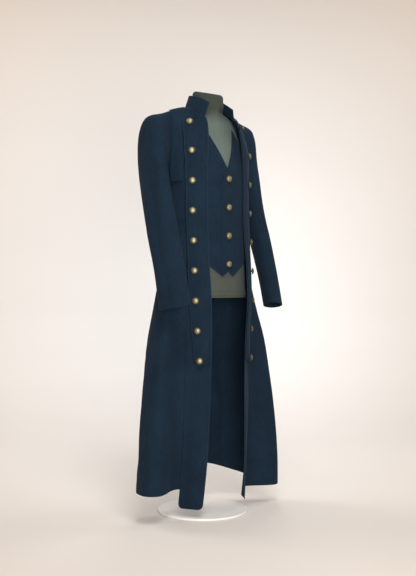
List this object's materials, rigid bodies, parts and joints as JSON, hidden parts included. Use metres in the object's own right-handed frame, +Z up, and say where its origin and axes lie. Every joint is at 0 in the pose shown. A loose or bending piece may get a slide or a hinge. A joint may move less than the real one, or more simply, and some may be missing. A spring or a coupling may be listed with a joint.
{
  "type": "steampunk long coat on a dress form",
  "caption": "Open full-length coat with a stand collar, buttoned-back lapels and a fitted waistcoat front, worn by a limbless dress form on a pole and round base.",
  "frame": {"origin": "middle of the underside of the round base, on the floor", "axes": "+Z up; the wearer faces -Y; the wearer's left is +X"},
  "size_m": [0.5741, 0.3157, 1.3963],
  "materials": {
    "navy_wool": "dull napped wool twill, dark navy",
    "antique_brass": "domed antique brass, worn bright on the crown",
    "form_cloth": "smooth grey-green knit cover",
    "form_binding": "grey-green binding tape with two rows of stitching",
    "stand_metal": "pale satin paint"
  },
  "bodies": {
    "root": {"back_L": "navy_wool", "back_R": "navy_wool", "button_L1": "antique_brass", "button_L2": "antique_brass", "button_L3": "antique_brass", "button_L4": "antique_brass", "button_L5": "antique_brass", "button_L6": "antique_brass", "button_L7": "antique_brass", "button_L8": "antique_brass", "button_L9": "antique_brass", "button_R1": "antique_brass", "button_R2": "antique_brass", "button_R3": "antique_brass", "button_R4": "antique_brass", "button_R5": "antique_brass", "button_R6": "antique_brass", "button_R7": "antique_brass", "button_R8": "antique_brass", "button_R9": "antique_brass", "collar": "navy_wool", "form_rim": "form_binding", "form_torso": "form_cloth", "front_L": "navy_wool", "front_R": "navy_wool", "front_band_L": "navy_wool", "front_band_R": "navy_wool", "lapel_L": "navy_wool", "lapel_R": "navy_wool", "shoulder_flap_L": "navy_wool", "shoulder_flap_R": "navy_wool", "sleeve_top_L": "navy_wool", "sleeve_top_R": "navy_wool", "sleeve_under_L": "navy_wool", "sleeve_under_R": "navy_wool", "stand_base": "stand_metal", "stand_pole": "stand_metal", "waistcoat_L": "navy_wool", "waistcoat_R": "navy_wool", "waistcoat_button_1": "antique_brass", "waistcoat_button_2": "antique_brass", "waistcoat_button_3": "antique_brass", "waistcoat_button_4": "antique_brass"}
  },
  "joints": []
}
